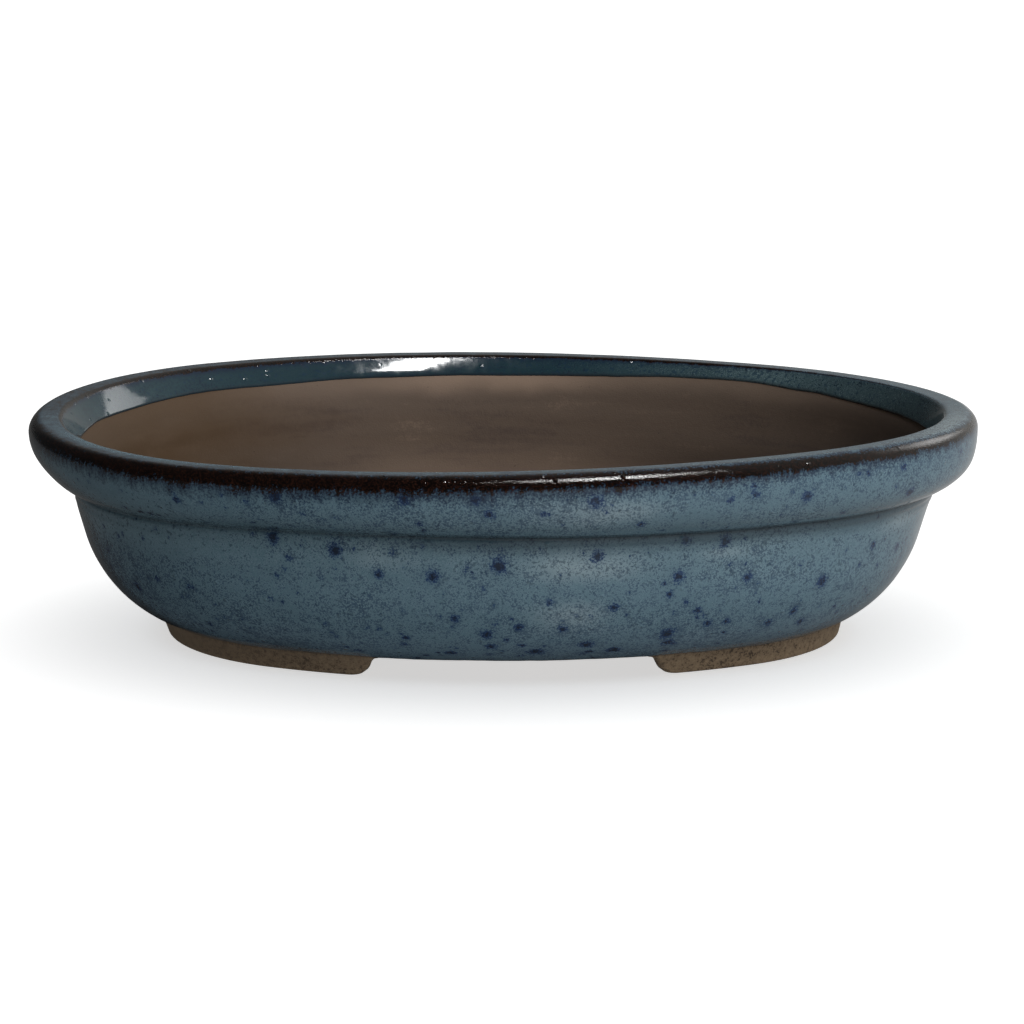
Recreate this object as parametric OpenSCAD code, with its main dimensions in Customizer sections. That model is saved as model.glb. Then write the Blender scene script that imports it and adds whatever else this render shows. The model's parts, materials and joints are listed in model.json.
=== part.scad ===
// Oval bonsai pot: a stoneware bowl with an overhanging rim band, on two feet that wrap its ends.
// The outside and the lip carry a glaze coat; the inside, the feet and the underside are bare clay.
// Origin: middle of the oval, on the surface that the feet stand on. X runs along the pot, Z is up.

/* [Oval] */
// Length over the rim band
pot_l = 260; // [254:6:272]
// Width over the rim band
pot_w = 200; // [194:6:206]
// Height from the feet to the highest part of the lip
pot_h = 63.8; // [62:0.2:66]

/* [Rim band] */
// Radius of the lip's outer edge
lip_r = 4; // [3:0.25:5]
// Radius of the lip's inner edge
edge_r = 2; // [1.5:0.25:2.5]
// Radius of the band's side, in section
band_r = 16; // [14:0.5:17]
// Angle that the band's side turns through before the groove, in degrees
band_sweep = 70; // [64:1:74]
// Radius of the groove where the band meets the wall
neck_r = 1.5; // [1:0.25:2.5]
// Radius of the clay slope from the lip down into the bowl
inner_r = 45; // [42:1:50]

/* [Wall and floor] */
// Wall thickness, glaze included
wall_t = 7; // [6:0.25:7.5]
// Lean of the upper wall from upright, in degrees
wall_lean = 16; // [12:1:18]
// Height at which the straight wall ends and the belly starts
belly_top = 29; // [27:0.5:31]
// Radius of the belly, in section
belly_r = 36; // [35:0.5:37]
// Thickness of the base slab
floor_t = 7; // [6:0.25:7.5]

/* [Holes] */
// Diameter of a drainage hole
drain_d = 20; // [12:1:26]
// Distance between the two drainage holes
drain_pitch = 90; // [70:1:100]
// Diameter of a tie-wire hole
wire_d = 5; // [3:0.5:6]
// Distance between tie-wire holes along the pot
wire_pitch_x = 44; // [30:1:50]
// Distance between tie-wire holes across the pot
wire_pitch_y = 52; // [40:1:60]

/* [Feet] */
// Height of the feet
foot_h = 5.5; // [5:0.25:6]
// Breadth of a foot, from its outer to its inner face
foot_w = 15; // [12:1:17]
// How far a foot's outer face slopes in from top to bottom
foot_slope = 1.7; // [1:0.1:2.5]
// Opening between the feet at the front and the back, just under the slab
gap_top = 70; // [60:1:80]
// The same opening at the table
gap_bottom = 82; // [78:1:90]

/* [Glaze] */
// Thickness of the glaze coat
glaze_t = 0.6; // [0.4:0.1:1]
// Height of the glaze line above the feet's top
glaze_line = 0.8; // [0.5:0.1:1.5]
// How far the glaze runs down inside the lip
lip_glaze_drop = 6; // [4:0.5:9]

/* [Hidden] */
$fn = 180;

CLAY = [0.47, 0.40, 0.32];
CLAY_DARK = [0.40, 0.33, 0.26];
GLAZE = [0.35, 0.46, 0.53];
GLAZE_DARK = [0.22, 0.32, 0.40];

// The plan is a four-centre oval: two end arcs and two side arcs that run smoothly into each other.
// Every outline in plan is this oval moved in by a distance d, so the centres stay where they are.
// The arcs meet on lines of slope 15 to 8, so the distance between two centres is 17 eighths of end_x.
end_x = (pot_l - pot_w) * 2 / 3;
side_y = end_x * 15 / 8;
end_r = pot_l / 2 - end_x;
side_r = end_r + end_x * 17 / 8;
end_a = atan2(15, 8);

// A section is drawn as [d, z]: d is measured in from the rim's widest outline, z is the height.
// t is a depth below the glazed surface, so a section's line moves in parallel as t grows.
lean = [cos(wall_lean), sin(wall_lean)];
down = [sin(wall_lean), -cos(wall_lean)];
lip_c = [lip_r, pot_h - lip_r];
band_c = [band_r, pot_h - lip_r];
band_end = 180 + band_sweep;
neck_c = band_c + (band_r + neck_r) * [cos(band_end), sin(band_end)];
function wall_head(t) = neck_c + (neck_r + t) * lean;
belly_start = wall_head(0) + (wall_head(0)[1] - belly_top) / cos(wall_lean) * down;
belly_c = belly_start + belly_r * lean;
inner_c = wall_head(wall_t) - inner_r * lean;
inner_R = inner_r + glaze_t;
edge_z = pot_h - edge_r;
edge_c = [inner_c[0] + sqrt(pow(inner_R - edge_r, 2) - pow(edge_z - inner_c[1], 2)), edge_z];
edge_end = atan2(edge_c[1] - inner_c[1], edge_c[0] - inner_c[0]);
lip_glaze_end = asin((pot_h - lip_glaze_drop - inner_c[1]) / inner_R);
lip_split = 135;

floor_top = foot_h + floor_t;
glaze_z = foot_h + glaze_line;
// Angle of the belly's section line at height z, when t below the glazed surface
function belly_a(t, z) = 180 + asin((belly_c[1] - z) / (belly_r - t));
function on_belly(t, z) = belly_c + (belly_r - t) * [cos(belly_a(t, z)), sin(belly_a(t, z))];
floor_d = on_belly(wall_t, floor_top)[0];
foot_d = on_belly(glaze_t, glaze_z)[0];
foot_round = 1.2;
meet_far = [end_x * 3.4, side_y * 2.4];
spare = 5;
over = 1;

function arc(c, r, from, to, steps) =
    [for (i = [0:steps]) c + r * [cos(from + (to - from) * i / steps), sin(from + (to - from) * i / steps)]];
function reversed(list) = [for (i = [len(list) - 1:-1:0]) list[i]];

// Section lines, each from the lip downwards
function lip_out(t) = arc(lip_c, lip_r - t, lip_split, 180, 4);
function lip_over(t) = arc(lip_c, lip_r - t, lip_split, 90, 4);
function band_side(t) = arc(band_c, band_r - t, 180, band_end, 14);
function neck(t) = arc(neck_c, neck_r + t, band_end - 180, wall_lean, 4);
function belly(t, z) = arc(belly_c, belly_r - t, 180 + wall_lean, belly_a(t, z), 12);
function lip_in(t) = arc(edge_c, edge_r - t, 90, edge_end, 4);
function slope_glazed(t) = arc(inner_c, inner_R - t, edge_end, lip_glaze_end, 5);
function slope_bare() = arc(inner_c, inner_r, lip_glaze_end, wall_lean, 6);

function band_outside(t) = concat(lip_out(t), band_side(t), neck(t));
function lip_inside(t) = concat(lip_over(t), lip_in(t), slope_glazed(t));
function wall_outside(t, z) = concat([wall_head(t)], belly(t, z));

// Turns a section, drawn as [d, z], into one to revolve at radius r
module at_radius(r) translate([r, 0]) mirror([1, 0]) children();

// Cuts a sweep off at the lines where the arcs meet, and at x = 0 for half a side
module keep(corners) intersection() {
    children();
    translate([0, 0, -over]) linear_extrude(pot_h + 2 * over) polygon(corners);
}

// Sweeps a section round the end at +X
module end_sweep() {
    keep([[end_x, 0], meet_far, [pot_l, pot_w], [pot_l, -pot_w], [meet_far[0], -meet_far[1]]])
        translate([end_x, 0, 0])
            rotate_extrude(start = -end_a - spare, angle = 2 * (end_a + spare)) at_radius(end_r) children();
}

// Sweeps a section along the side at +Y, as far as x = from on the left
module side_sweep(from, far_from) {
    keep([[from, 0], [end_x, 0], meet_far, [far_from, meet_far[1]]])
        translate([0, -side_y, 0])
            rotate_extrude(start = end_a - spare, angle = 180 - 2 * (end_a - spare))
                at_radius(side_r) children();
}

// Sweeps a section round one half of the oval, from x = 0 to x = 0
module oval_half() {
    end_sweep() children();
    side_sweep(0, 0) children();
    mirror([0, 1, 0]) side_sweep(0, 0) children();
}

// Sweeps a section all the way round the oval
module oval_ring() {
    for (flip = [0, 1]) {
        mirror([flip, 0, 0]) end_sweep() children();
        mirror([0, flip, 0]) side_sweep(-end_x, -meet_far[0]) children();
    }
}

// Points of the oval moved in by d
function oval_points(d) = concat(
    [for (p = arc([end_x, 0], end_r - d, -end_a, end_a, 20)) p],
    [for (p = arc([0, -side_y], side_r - d, end_a, 180 - end_a, 12)) p],
    [for (p = arc([-end_x, 0], end_r - d, 180 - end_a, 180 + end_a, 20)) p],
    [for (p = arc([0, side_y], side_r - d, 180 + end_a, 360 - end_a, 12)) p]);

module hole_at(x, y, d) translate([x, y, foot_h - over]) cylinder(d = d, h = floor_t + 2 * over);

// Oval slab with its edge inside the wall, pierced for water and for tie wires
module floor_slab() {
    edge_w = 12;
    color(CLAY_DARK) difference() {
        union() {
            oval_ring() translate([floor_d, foot_h]) square([edge_w, floor_t]);
            translate([0, 0, foot_h]) linear_extrude(floor_t) polygon(oval_points(floor_d + edge_w / 2));
        }
        for (sx = [-1, 1]) {
            hole_at(sx * drain_pitch / 2, 0, drain_d);
            for (sy = [-1, 1]) hole_at(sx * wire_pitch_x / 2, sy * wire_pitch_y / 2, wire_d);
        }
    }
}

// Wall from the slab up to the groove under the band
module bowl_wall() {
    outside = wall_outside(glaze_t, glaze_z);
    inside = concat([wall_head(wall_t)], belly(wall_t, floor_top));
    color(CLAY) oval_ring()
        polygon(concat(outside, [[foot_d, foot_h], [floor_d, foot_h]], reversed(inside)));
}

// Thick collar on the wall's top edge, rounded outside and sloping into the bowl
module rim_band() {
    color(CLAY) oval_ring()
        polygon(concat(reversed(band_outside(glaze_t)), lip_inside(glaze_t), slope_bare()));
}

// The opening between the feet: straight sides that flare out in an S towards the table
module foot_gap() {
    run = (gap_bottom - gap_top) / 2;
    turn = 2 * atan(foot_h / run);
    fillet_r = run / sin(turn) / 3;
    toe_r = 2 * fillet_r;
    fillet = arc([gap_top / 2, foot_h - fillet_r], fillet_r, 90, 90 - turn, 6);
    toe = arc([gap_bottom / 2, toe_r], toe_r, 270 - turn, 270, 8);
    half = concat([[gap_top / 2, foot_h + over]], fillet, toe, [[gap_bottom / 2, -over]]);
    mirrored = [for (p = reversed(half)) [-p[0], p[1]]];
    rotate([90, 0, 0]) linear_extrude(pot_w, center = true) polygon(concat(half, mirrored));
}

// Strip of clay under the edge of the slab, curved round one end of the pot
module foot() {
    outer_d = foot_d + foot_slope;
    inner_d = foot_d + foot_w;
    section = concat(
        [[foot_d, foot_h]],
        arc([outer_d + foot_round, foot_round], foot_round, 190, 270, 4),
        arc([inner_d - foot_round, foot_round], foot_round, 270, 360, 4),
        [[inner_d, foot_h]]);
    difference() {
        oval_half() polygon(section);
        foot_gap();
    }
}

module foot_left() color(CLAY_DARK) rotate(180) foot();
module foot_right() color(CLAY_DARK) foot();

// Glaze on the wall, from the groove to the line above the feet
module wall_glaze() {
    color(GLAZE) oval_ring()
        polygon(concat(wall_outside(0, glaze_z), reversed(wall_outside(glaze_t, glaze_z))));
}

// Glaze on the outside of the band, from the groove to the lip's outer edge
module band_glaze() {
    color(GLAZE) oval_ring() polygon(concat(band_outside(0), reversed(band_outside(glaze_t))));
}

// Glaze over the lip and a little way down inside
module lip_glaze() {
    color(GLAZE_DARK) oval_ring() polygon(concat(lip_inside(0), reversed(lip_inside(glaze_t))));
}

floor_slab();
bowl_wall();
rim_band();
foot_left();
foot_right();
wall_glaze();
band_glaze();
lip_glaze();
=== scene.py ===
"""Oval bonsai pot in stoneware: clay body, iron-speckled blue glaze, pale studio floor."""
import json
import math

import bpy
import numpy as np
from mathutils import Matrix, Vector
from mathutils.geometry import delaunay_2d_cdt

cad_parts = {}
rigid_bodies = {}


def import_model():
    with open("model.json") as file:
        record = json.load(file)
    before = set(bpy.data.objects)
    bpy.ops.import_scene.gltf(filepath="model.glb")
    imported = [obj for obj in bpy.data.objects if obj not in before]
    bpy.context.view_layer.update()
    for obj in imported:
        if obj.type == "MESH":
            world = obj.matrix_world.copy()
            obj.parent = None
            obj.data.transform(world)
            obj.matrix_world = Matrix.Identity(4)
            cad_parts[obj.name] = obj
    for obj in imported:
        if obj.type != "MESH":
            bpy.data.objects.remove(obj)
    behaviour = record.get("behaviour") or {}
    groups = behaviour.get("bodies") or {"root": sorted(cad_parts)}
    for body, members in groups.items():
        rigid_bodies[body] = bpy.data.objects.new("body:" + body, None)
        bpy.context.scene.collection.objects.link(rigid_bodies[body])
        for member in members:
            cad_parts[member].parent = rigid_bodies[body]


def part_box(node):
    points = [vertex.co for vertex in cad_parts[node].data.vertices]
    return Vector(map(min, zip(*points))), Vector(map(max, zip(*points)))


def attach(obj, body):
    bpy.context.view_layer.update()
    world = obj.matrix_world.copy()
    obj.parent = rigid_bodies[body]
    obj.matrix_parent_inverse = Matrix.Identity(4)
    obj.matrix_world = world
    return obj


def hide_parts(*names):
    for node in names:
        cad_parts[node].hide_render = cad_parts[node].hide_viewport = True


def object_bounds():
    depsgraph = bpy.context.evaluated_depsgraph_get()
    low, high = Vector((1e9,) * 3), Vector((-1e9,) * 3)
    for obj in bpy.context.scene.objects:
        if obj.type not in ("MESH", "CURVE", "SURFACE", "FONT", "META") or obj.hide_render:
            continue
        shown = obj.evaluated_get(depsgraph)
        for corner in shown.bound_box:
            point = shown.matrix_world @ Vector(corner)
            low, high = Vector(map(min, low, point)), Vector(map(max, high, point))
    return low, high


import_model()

# ------------ sizes, in millimetres

MM = 0.001
cad_low, cad_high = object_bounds()


def lowest(node):
    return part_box(node)[0].z / MM


def highest(node):
    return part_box(node)[1].z / MM


POT_L = (cad_high.x - cad_low.x) / MM
POT_W = (cad_high.y - cad_low.y) / MM
FOOT_TOP = lowest("floor_slab")
FLOOR_TOP = highest("floor_slab")
GLAZE_LINE = lowest("wall_glaze")

# The fired rim isn't level. The CAD model is as high as its highest part.
RIM_RISE = 1.8
POT_H = cad_high.z / MM - RIM_RISE
TWIST = 2.25
SADDLE = 0.2
TILT_ALONG = 1.04
TILT_ACROSS = 0.86
SINK = 0.76

# The band has slipped towards +X, and the groove under it rises at the left of the front
BAND_SLIP = 1.45
BAND_SLIP_Z = POT_H - 15
BAND_SLIP_REACH = 6
NECK_RISE = 1.75
NECK_Z = POT_H - 19
NECK_RISE_REACH = 4
NECK_RISE_X = -55
NECK_RISE_LENGTH = 75
NECK_RISE_FADE = 1.3

# The bottom of the belly stands out a little, and the right foot leans out towards the floor
SPREAD = 0.4
SPREAD_TOP = 20
SPREAD_HEIGHT = 14
TOE_SPLAY = 1.1

# The section, as in part.scad: d is measured in from the rim's widest outline
LIP_R = 4
EDGE_R = 2
BAND_R = 16
BAND_SWEEP = 70
NECK_R = 1.5
INNER_R = 45
WALL_T = 7
WALL_LEAN = 16
BELLY_TOP = 29
BELLY_R = 36
GLAZE_T = 0.6
LIP_SPLIT = 135
EDGE_Z = POT_H - EDGE_R
SKIN = 0.12

# The feet, with more slope, sharper edges and a wider gap than in part.scad
FOOT_W = 15
FOOT_SLOPE = 2.1
FOOT_ROUND = 0.6
GAP_TOP = 70
GAP_BOTTOM = 85

DRAIN_D = 20
DRAIN_PITCH = 90
WIRE_D = 5
WIRE_PITCH_X = 44
WIRE_PITCH_Y = 52

# ------------ plan: a four-centre oval

# Neighbouring centres make an 8-15-17 triangle with the pot's middle, as in part.scad
END_X = (POT_L - POT_W) * 2 / 3
SIDE_Y = END_X * 15 / 8
END_R = POT_L / 2 - END_X
SIDE_R = END_R + END_X * 17 / 8
END_TURN = math.atan2(15, 8)
STATIONS = 720
# Keeps the uneven skin inside the CAD model's box
MARGIN = 0.12


def arc_radius(turn):
    """Radius of the oval's arc that faces the direction turn, in radians."""
    return np.where(np.abs(np.cos(turn)) >= math.cos(END_TURN), END_R, SIDE_R)


def on_oval(turn, d):
    """Points of the oval moved in by d, where its outline faces the direction turn, in radians."""
    c, s = np.cos(turn), np.sin(turn)
    end = np.abs(c) >= math.cos(END_TURN)
    radius = np.where(end, END_R, SIDE_R) - d - MARGIN
    x = np.where(end, np.sign(c) * END_X, 0) + radius * c
    y = np.where(end, 0, -np.sign(s) * SIDE_Y) + radius * s
    return x, y


def even_turns(count, fine=36000):
    """Directions of count stations spaced evenly round the oval, from +X."""
    turn = (np.arange(fine) + 0.5) / fine * 2 * math.pi
    run = np.cumsum(arc_radius(turn))
    return np.interp(np.arange(count) / count * run[-1], run, turn)


def distance_along(turn, inset=0):
    """Distance along the oval, moved in by inset, from the first of many close directions to each."""
    radius = arc_radius(turn) - inset
    return np.concatenate([[0], np.cumsum((radius[1:] + radius[:-1]) / 2 * np.diff(turn))])


def round_distance(turn):
    """Distance round the oval from +X to a direction, in millimetres."""
    fine = np.linspace(0, 2 * math.pi, 3601)
    return np.interp(turn % (2 * math.pi), fine, distance_along(fine))


TURN = even_turns(STATIONS)
ROUND = END_R * END_TURN * 4 + SIDE_R * (2 * math.pi - 4 * END_TURN)


def bell(distance, reach):
    """1 at no distance, falling smoothly away to either side."""
    return np.exp(-((distance / reach) ** 2))


def fired(x, y, z):
    """Moves points of the true shape to where they are on the fired pot, in metres."""
    lift = np.clip((z - GLAZE_LINE) / (POT_H - GLAZE_LINE), 0, 1)
    along, across = x / (POT_L / 2), y / (POT_W / 2)
    rise = -TWIST * along * across - SADDLE * (along**2 - across**2)
    rise = rise + TILT_ALONG * along - TILT_ACROSS * across - SINK
    neck = NECK_RISE * bell(z - NECK_Z, NECK_RISE_REACH) * bell(x - NECK_RISE_X, NECK_RISE_LENGTH)
    neck = neck * np.clip(-NECK_RISE_FADE * across, 0, 1)
    slip = BAND_SLIP * bell(z - BAND_SLIP_Z, BAND_SLIP_REACH)
    splay = TOE_SPLAY * np.clip(1 - z / GLAZE_LINE, 0, 1) * np.clip(x / END_R, 0, 1)
    return np.stack([x + slip + splay, y, z + lift * rise + neck], -1) * MM


def spread(z):
    """How far the bottom of the belly stands out from the true section."""
    return SPREAD * np.clip((SPREAD_TOP - z) / SPREAD_HEIGHT, 0, 1)


# ------------ section lines
# A line is an array [point, station, (d, z, outward d, outward z)].


def polar(angle):
    return np.stack([np.cos(angle), np.sin(angle)], -1)


def arc(centre, radius, start, end, step, hollow=False):
    """An arc of a section in degrees; start and end may differ from station to station."""
    start, end = np.broadcast_to(start, STATIONS), np.broadcast_to(end, STATIONS)
    length = math.radians(np.abs(end - start).max()) * radius
    share = np.linspace(0, 1, max(3, math.ceil(length / step) + 1))[:, None]
    out = polar(np.radians(start + (end - start) * share))
    points = np.array(centre) + radius * out
    return np.concatenate([points, -out if hollow else out], -1)


def straight(a, b, out, step):
    """A straight stretch of a section from a to b."""
    count = max(2, math.ceil(math.dist(a, b) / step) + 1)
    points = np.array(a) + (np.array(b) - np.array(a)) * np.linspace(0, 1, count)[:, None]
    line = np.concatenate([points, np.broadcast_to(out, points.shape)], -1)
    return np.broadcast_to(line[:, None], (count, STATIONS, 4))


def joined(*lines):
    """Lines end to end, each but the first without its first point."""
    return np.concatenate([lines[0]] + [line[1:] for line in lines[1:]])


def deep(line, depth):
    """The line moved below its surface."""
    moved = line.copy()
    moved[..., :2] -= np.asarray(depth)[..., None] * line[..., 2:]
    return moved


LEAN = np.array([math.cos(math.radians(WALL_LEAN)), math.sin(math.radians(WALL_LEAN))])
DOWN = np.array([LEAN[1], -LEAN[0]])
BAND_END = 180 + BAND_SWEEP
LIP_C = np.array([LIP_R, POT_H - LIP_R])
BAND_C = np.array([BAND_R, POT_H - LIP_R])
NECK_C = BAND_C + (BAND_R + NECK_R) * polar(math.radians(BAND_END))
HEAD = NECK_C + NECK_R * LEAN
BELLY_START = HEAD + (HEAD[1] - BELLY_TOP) / LEAN[0] * DOWN
BELLY_C = BELLY_START + BELLY_R * LEAN
HEAD_IN = HEAD + WALL_T * LEAN
INNER_C = HEAD_IN - INNER_R * LEAN
INNER_GLAZED = INNER_R + GLAZE_T
EDGE_C = np.array([
    INNER_C[0] + math.sqrt((INNER_GLAZED - EDGE_R) ** 2 - (EDGE_Z - INNER_C[1]) ** 2), EDGE_Z])
EDGE_END = math.degrees(math.atan2(EDGE_C[1] - INNER_C[1], EDGE_C[0] - INNER_C[0]))


def belly_angle(radius, z):
    return 180 + np.degrees(np.arcsin((BELLY_C[1] - z) / radius))


def round_the_pot(knots, turn):
    """A value that runs smoothly through knots {direction in degrees: value} round the pot."""
    at = np.array(sorted(knots) + [min(knots) + 360], float)
    values = np.array([knots[a % 360] for a in at])
    degrees = np.degrees(turn) % 360
    place = np.clip(np.searchsorted(at, degrees, side="right") - 1, 0, len(at) - 2)
    share = (degrees - at[place]) / (at[place + 1] - at[place])
    share = share * share * (3 - 2 * share)
    return values[place] * (1 - share) + values[place + 1] * share


def waves(points, length, seed, count=28):
    """Smooth seeded noise of about -1 to 1: waves of about the given length in many directions."""
    draw = np.random.default_rng(seed)
    ways = draw.normal(size=(3, count))
    ways /= np.linalg.norm(ways, axis=0)
    ways *= 2 * math.pi / (length * draw.uniform(0.75, 1.5, count))
    phase = draw.uniform(0, 2 * math.pi, count)
    return np.cos(points @ ways + phase).sum(-1) * math.sqrt(2 / count) / 1.8


def plain_points(line):
    """Where the line's points lie on the true pot, in millimetres, to read noise at."""
    x, y = on_oval(TURN, line[..., 0])
    return np.stack([x, y, line[..., 1]], -1)


# ------------ meshes


def volume(mesh):
    """Volume of a closed mesh; less than zero if its faces look inwards."""
    mesh.calc_loop_triangles()
    corners = np.empty(len(mesh.loop_triangles) * 3, np.int32)
    mesh.loop_triangles.foreach_get("vertices", corners)
    places = np.empty(len(mesh.vertices) * 3, np.float32)
    mesh.vertices.foreach_get("co", places)
    a, b, c = np.moveaxis(places.reshape(-1, 3)[corners].reshape(-1, 3, 3), 1, 0)
    return float((a * np.cross(b, c)).sum()) / 6


def make_mesh(name, points, faces, material, values, sharp):
    """A smooth-shaded object; values are {attribute name: one number per vertex}."""
    mesh = bpy.data.meshes.new(name)
    mesh.from_pydata(points.reshape(-1, 3).tolist(), [], faces)
    for key, numbers in values.items():
        attribute = mesh.attributes.new(key, "FLOAT", "POINT")
        attribute.data.foreach_set("value", np.asarray(numbers, np.float32).ravel())
    if volume(mesh) < 0:
        mesh.flip_normals()
    mesh.shade_smooth()
    mesh.set_sharp_from_angle(angle=math.radians(sharp))
    mesh.materials.append(material)
    piece = bpy.data.objects.new(name, mesh)
    bpy.context.scene.collection.objects.link(piece)
    return piece


def loop_faces(rows, columns, wrap_rows):
    """Quads between rows of a grid whose columns close on themselves."""
    row = np.arange(rows if wrap_rows else rows - 1)[:, None]
    column = np.arange(columns)[None]
    after, beside = (row + 1) % rows, (column + 1) % columns
    quads = np.stack([row * columns + column, row * columns + beside,
                      after * columns + beside, after * columns + column], -1)
    return quads.reshape(-1, 4).tolist()


def ring(name, skin, back, material, values, sharp=40):
    """A closed ring: skin runs one way along the section and back returns along its far side."""
    section = np.concatenate([skin, back])
    x, y = on_oval(TURN, section[..., 0] - spread(section[..., 1]))
    points = fired(x, y, section[..., 1])
    hidden = np.zeros((len(back), STATIONS))
    values = {key: np.concatenate([np.broadcast_to(v, skin.shape[:2]), hidden])
              for key, v in values.items()}
    faces = loop_faces(len(section), STATIONS, wrap_rows=True)
    return make_mesh(name, points, faces, material, values, sharp)


def run_along(line):
    """Distance along the line from its first point, in millimetres."""
    step = np.linalg.norm(np.diff(line[..., :2], axis=0), axis=-1)
    return np.concatenate([np.zeros((1, STATIONS)), np.cumsum(step, 0)])


# ------------ what the glaze shows where

# The widest spots in front: [direction in degrees, distance below the lip's edge, radius]
FRONT_SPOTS = [
    [268, 30, 2.3], [277, 28, 1.8], [262, 33, 1.9], [257, 33, 1.3], [253, 27, 1.8], [285, 35, 1.8],
    [267, 52, 1.8], [270, 49, 1.3], [264, 46, 1.2], [279, 43, 1.4], [272, 61, 2.3], [285, 54, 2.3],
    [280, 61, 1.9], [260, 5, 1.5], [266, 5, 1.2], [276, 6, 2.0], [267, 9, 1.3], [278, 2.5, 1.4],
    [295, 9, 1.7], [304, 41, 1.7], [292, 37, 1.4], [289, 26, 1.7], [285, 25, 1.3], [290, 7, 1.3],
    [317, 33, 1.3], [316, 13, 1.5], [299, 50, 1.4], [247, 25, 1.6], [249, 5, 1.5], [237, 8, 1.2],
    [277, 57.5, 2.0], [285.5, 58.5, 1.7], [289, 51, 1.3], [296, 53.5, 1.5], [277.5, 61.5, 1.2],
    [270.5, 57, 1.1], [259, 54, 1.0], [274.3, 50, 1.4], [291, 51, 1.1], [272.8, 41, 1.1],
    [287.5, 46, 1.2], [284.3, 40, 1.1], [303, 55, 1.3], [214, 46, 1.5], [226.5, 15.5, 0.7],
    [228.5, 15.8, 0.8], [230.5, 16, 0.6],
]
# Scattered spots: [area for each, distance down where they start, least radius, greatest, in front too]
SCATTERED = [[230, 4, 0.9, 2.3, False], [48, 4, 0.4, 1.2, True], [170, 55, 1.0, 1.9, True]]
FRONT = (190, 350)
BOTTOM_RUN = 67
FAINTEST = 0.35


def all_spots():
    """Every spot as [distance round, distance down, radius, depth]."""
    draw = np.random.default_rng(11)
    spots = [[round_distance(math.radians(a)), run, radius, 1] for a, run, radius in FRONT_SPOTS]
    front = [round_distance(math.radians(a)) for a in FRONT]
    for area, top, low, high, in_front in SCATTERED:
        for _ in range(int(ROUND * (BOTTOM_RUN - top) / area)):
            place, run = draw.uniform(0, ROUND), draw.uniform(top, BOTTOM_RUN)
            radius = low + (high - low) * draw.uniform() ** 2
            if in_front or not front[0] < place < front[1]:
                spots.append([place, run, radius, draw.uniform(FAINTEST, 1)])
    return np.array(spots)


SMEAR = 0.7
SMEAR_RUN = 52
SMEAR_REACH = 12
BETWEEN_SPOTS = -2.0


def spot_field(run):
    """1 in the middle of a spot, 0 at its edge, falling on to -2 between spots; low ones are smeared."""
    field = np.full(run.shape, BETWEEN_SPOTS)
    place = np.broadcast_to(round_distance(TURN), run.shape)
    for at, down, radius, depth in all_spots():
        smear = 1 + SMEAR * np.clip((down - SMEAR_RUN) / SMEAR_REACH, 0, 1)
        beside = np.abs(place - at)
        beside = np.minimum(beside, ROUND - beside) / smear**0.5
        apart = np.hypot(beside, (run - down) * smear**0.5)
        field = np.maximum(field, depth - apart / radius)
    return field


# Iron breaks along the lip's edge and the inner crest: {direction in degrees: millimetres}
IRON_HALF_WIDTH = {0: 1.3, 60: 2.0, 120: 2.2, 180: 2.1, 205: 2.9, 228: 3.3, 245: 3.5, 268: 3.2,
                   285: 2.4, 300: 1.8, 330: 1.6}
IRON_MIDDLE = {0: 0.6, 180: 0.2, 208: -0.5, 235: 0.2, 270: 0.3, 300: 0.5}
CREST_HALF_WIDTH = {0: 0.05, 45: 0.2, 75: 0.8, 120: 1.2, 165: 1.0, 195: 0.4, 225: 0.05}
CREST_RUN = -8.0
# A drop of brown below the break: direction, distance below the lip's edge, radius, squeeze
DROP_TURN, DROP_RUN, DROP_R, DROP_SQUEEZE = 278, 3.0, 1.0, 0.7
# How near the lip's top and its inner slope come to breaking, as in iron_field
TOP_NAVY = {0: -2, 45: -0.8, 80: -0.35, 130: -0.05, 165: 0.05, 190: -0.5, 215: -1.6, 330: -3}
INNER_NAVY = {0: -2, 40: -0.8, 75: 0.0, 130: 0.15, 170: -0.2, 200: -2, 330: -3}
INNER_NAVY_FALL = 0.45
NO_BREAK = -6


def iron_field(run):
    """Where the glaze breaks to iron brown: 1 in the middle of a break, 0 at its edge."""
    edge = 1 - np.abs(run - round_the_pot(IRON_MIDDLE, TURN)) / round_the_pot(IRON_HALF_WIDTH, TURN)
    crest = 1 - np.abs(run - CREST_RUN) / round_the_pot(CREST_HALF_WIDTH, TURN)
    beside = round_distance(TURN) - round_distance(math.radians(DROP_TURN))
    drop = 1 - np.hypot(beside, (run - DROP_RUN) * DROP_SQUEEZE) / DROP_R
    top = np.where((run > CREST_RUN) & (run < 0), round_the_pot(TOP_NAVY, TURN), NO_BREAK)
    inner = round_the_pot(INNER_NAVY, TURN) - INNER_NAVY_FALL * (CREST_RUN - run)
    inner = np.where(run < CREST_RUN, inner, NO_BREAK)
    return np.max([edge, crest, drop, top, inner], axis=0)


def dense_field(run):
    """How thickly the fine blue speckle lies: most near the lip's edge, least just below the groove."""
    near_edge = np.exp(-np.clip(run - 2.5, 0, None) / 5)
    below_neck = bell(run - 27, 5)
    middle = bell(run - 46, 10)
    return 0.9 * near_edge - 0.5 * below_neck + 0.3 * middle


# Milky patches, a pale line along the inner crest in front, and a painted sheen on the lip's top at the
# right end (the second entry): [direction, distance below the lip's edge, half length, half height,
# strength]
PALE_AND_SHEEN_PATCHES = [
    [268, -8, 130, 0.9, 1.0], [338, -4, 34, 5, 0.8], [257, 29, 14, 4, 0.3], [276, 31, 18, 6, 0.5],
    [277, 10, 20, 5, 0.45], [289, 29, 8, 2, 0.35], [275, 45, 14, 6, 0.5], [326, 27, 16, 4, 0.45],
    [95, 30, 60, 8, 0.8], [150, 12, 40, 6, 0.8], [30, 34, 50, 8, 0.8],
]


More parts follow.
